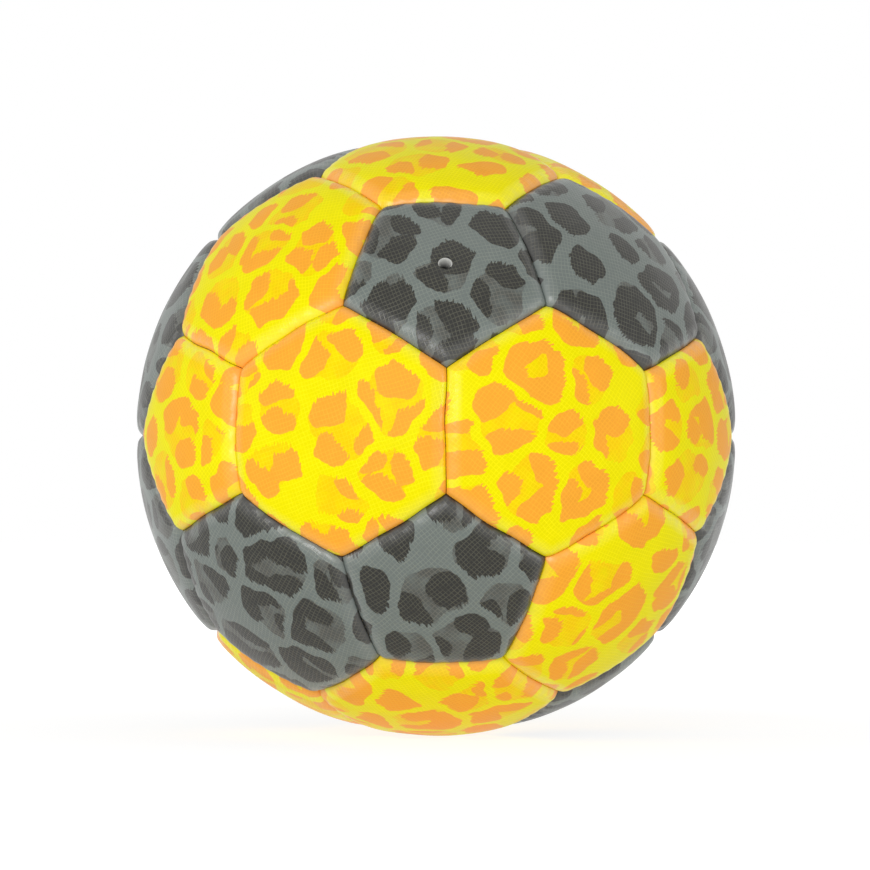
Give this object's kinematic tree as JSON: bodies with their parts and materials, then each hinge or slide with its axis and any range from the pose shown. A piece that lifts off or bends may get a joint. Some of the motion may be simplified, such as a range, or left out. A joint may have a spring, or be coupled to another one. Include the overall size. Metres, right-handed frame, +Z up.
{
  "type": "handball",
  "caption": "Inflated handball of stitched pentagon and hexagon panels in a spotted print, padded over a rubber bladder, with a valve core that pulls out.",
  "frame": {"origin": "centre of the ball", "axes": "+Z up as in the picture, -Y towards the viewer (the front), +X to the viewer's right; the ball rests on -Z"},
  "size_m": [0.1622, 0.1622, 0.162],
  "materials": {
    "yellow_print": "embossed synthetic leather, yellow with orange spots, semi-matte",
    "grey_print": "embossed synthetic leather, grey with near-black spots, semi-matte",
    "foam": "closed-cell foam",
    "backing_fabric": "woven backing, glued layers",
    "cord": "waxed stitching cord",
    "bladder_rubber": "matte",
    "boot_rubber": "moulded, matte",
    "core_rubber": "moulded, smooth"
  },
  "bodies": {
    "ball": {"pent_01": "grey_print", "pent_02": "grey_print", "pent_03": "yellow_print", "pent_04": "yellow_print", "pent_05": "grey_print", "pent_06": "yellow_print", "pent_07": "yellow_print", "pent_08": "grey_print", "pent_09": "grey_print", "pent_10": "grey_print", "pent_11": "yellow_print", "pent_12": "yellow_print", "hex_01": "yellow_print", "hex_02": "yellow_print", "hex_03": "yellow_print", "hex_04": "grey_print", "hex_05": "yellow_print", "hex_06": "grey_print", "hex_07": "yellow_print", "hex_08": "yellow_print", "hex_09": "grey_print", "hex_10": "grey_print", "hex_11": "grey_print", "hex_12": "grey_print", "hex_13": "yellow_print", "hex_14": "yellow_print", "hex_15": "grey_print", "hex_16": "yellow_print", "hex_17": "grey_print", "hex_18": "yellow_print", "hex_19": "yellow_print", "hex_20": "yellow_print", "foam_pentagons": "foam", "foam_hexagons": "foam", "backing_pentagons": "backing_fabric", "backing_hexagons": "backing_fabric", "seam_cord": "cord", "bladder": "bladder_rubber", "valve_boot": "boot_rubber", "valve_ring": "backing_fabric", "balance_patch": "boot_rubber"},
    "core": {"valve_core": "core_rubber"}
  },
  "joints": [
    {"name": "core_slide", "type": "slide", "parent": "ball", "child": "core", "axis": [0, -0.8507, 0.5257], "range_m": [0, 0.02]}
  ]
}
